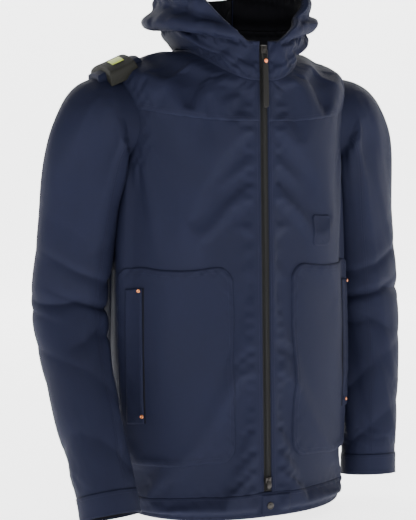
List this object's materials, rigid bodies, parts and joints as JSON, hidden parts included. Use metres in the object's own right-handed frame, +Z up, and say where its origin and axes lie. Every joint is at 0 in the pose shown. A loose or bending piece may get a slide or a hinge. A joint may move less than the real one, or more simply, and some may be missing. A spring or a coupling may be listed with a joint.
{
  "type": "foul weather jacket",
  "caption": "Navy hooded sailing jacket in its worn shape, with a two-way front zip, patch pockets, a hem snap tab and a shoulder strap.",
  "frame": {"origin": "the hanger loop inside the back of the neck, at the lowest point of the bow that a hook carries", "axes": "+Z up, the jacket faces -Y, the wearer's left is +X"},
  "size_m": [0.664, 0.3139, 0.8062],
  "materials": {
    "shell": "satin woven nylon, navy",
    "lining": "matt mesh, black",
    "webbing": "matt woven, black",
    "tape": "matt woven, charcoal",
    "teeth": "satin moulded",
    "zip_metal": "gunmetal",
    "rivet_metal": "copper, polished",
    "pull": "satin, black",
    "accent": "orange enamel",
    "badge": "matt, yellow-green"
  },
  "bodies": {
    "root": {"back_panel": "shell", "back_yoke": "shell", "body_lining_back": "lining", "body_lining_left": "lining", "body_lining_right": "lining", "chest_patch": "shell", "collar_left": "shell", "collar_lining_left": "lining", "collar_lining_right": "lining", "collar_right": "shell", "front_panel_left": "shell", "front_panel_right": "shell", "front_yoke_left": "shell", "front_yoke_right": "shell", "hanger_loop": "webbing", "hem_band_back": "shell", "hem_band_left": "shell", "hem_band_right": "shell", "hood_lining_left": "lining", "hood_lining_right": "lining", "hood_side_left": "shell", "hood_side_right": "shell", "loop_badge": "badge", "pocket_left": "shell", "pocket_right": "shell", "pocket_rivet_lower_left": "rivet_metal", "pocket_rivet_lower_right": "rivet_metal", "pocket_rivet_upper_left": "rivet_metal", "pocket_rivet_upper_right": "rivet_metal", "pocket_welt_left": "shell", "pocket_welt_right": "shell", "shoulder_strap": "shell", "snap_stud": "zip_metal", "storm_flap": "lining", "webbing_loop": "webbing", "zip_tape_left": "tape", "zip_tape_right": "tape", "zip_teeth_left": "teeth", "zip_teeth_right": "teeth"},
    "top_slider": {"top_slider": "zip_metal"},
    "pull_link": {"pull_link": "zip_metal"},
    "pull_tab": {"pull_tab": "pull", "pull_tab_dot": "accent"},
    "bottom_slider": {"bottom_slider": "zip_metal"},
    "bottom_pull": {"bottom_pull": "zip_metal"},
    "hem_tab": {"hem_tab": "shell", "snap_cap": "zip_metal"},
    "hood": {"hood_crown": "shell", "hood_crown_lining": "lining"},
    "upper_sleeve_right": {"sleeve_upper_right": "shell", "sleeve_lining_upper_right": "lining"},
    "forearm_right": {"sleeve_forearm_right": "shell", "sleeve_lining_forearm_right": "lining", "cuff_right": "shell"},
    "upper_sleeve_left": {"sleeve_upper_left": "shell", "sleeve_lining_upper_left": "lining"},
    "forearm_left": {"sleeve_forearm_left": "shell", "sleeve_lining_forearm_left": "lining", "cuff_left": "shell"}
  },
  "joints": [
    {"name": "zip_travel", "type": "slide", "parent": "root", "child": "top_slider", "axis": [0, -0.0304, -0.9995], "range_m": [0, 0.48]},
    {"name": "link_swing", "type": "hinge", "parent": "top_slider", "child": "pull_link", "pos_m": [0, -0.21422, 0.02867], "axis": [-1, 0, 0], "range_deg": [0, 110]},
    {"name": "tab_swing", "type": "hinge", "parent": "pull_link", "child": "pull_tab", "pos_m": [0, -0.21674, 0.01868], "axis": [-1, 0, 0], "range_deg": [0, 60]},
    {"name": "low_zip_travel", "type": "slide", "parent": "root", "child": "bottom_slider", "axis": [0, 0.0304, 0.9995], "range_m": [0, 0.05]},
    {"name": "low_pull_swing", "type": "hinge", "parent": "bottom_slider", "child": "bottom_pull", "pos_m": [0, -0.23419, -0.62732], "axis": [-1, 0, 0], "range_deg": [0, 100]},
    {"name": "tab_peel", "type": "hinge", "parent": "root", "child": "hem_tab", "pos_m": [0.03645, -0.23251, -0.66628], "axis": [0, 0, 1], "range_deg": [0, 120]},
    {"name": "hood_lift", "type": "hinge", "parent": "root", "child": "hood", "pos_m": [0, 0.00845, 0.07208], "axis": [1, 0, 0], "range_deg": [0, 70]},
    {"name": "shoulder_right", "type": "hinge", "parent": "root", "child": "upper_sleeve_right", "pos_m": [-0.172, -0.07755, -0.01492], "axis": [0, 1, 0], "range_deg": [0, 55]},
    {"name": "elbow_right", "type": "hinge", "parent": "upper_sleeve_right", "child": "forearm_right", "pos_m": [-0.274, -0.12005, -0.34892], "axis": [-1, 0, 0], "range_deg": [0, 85]},
    {"name": "shoulder_left", "type": "hinge", "parent": "root", "child": "upper_sleeve_left", "pos_m": [0.172, -0.07755, -0.01492], "axis": [0, -1, 0], "range_deg": [0, 55]},
    {"name": "elbow_left", "type": "hinge", "parent": "upper_sleeve_left", "child": "forearm_left", "pos_m": [0.274, -0.12005, -0.34892], "axis": [-1, 0, 0], "range_deg": [0, 85]}
  ]
}
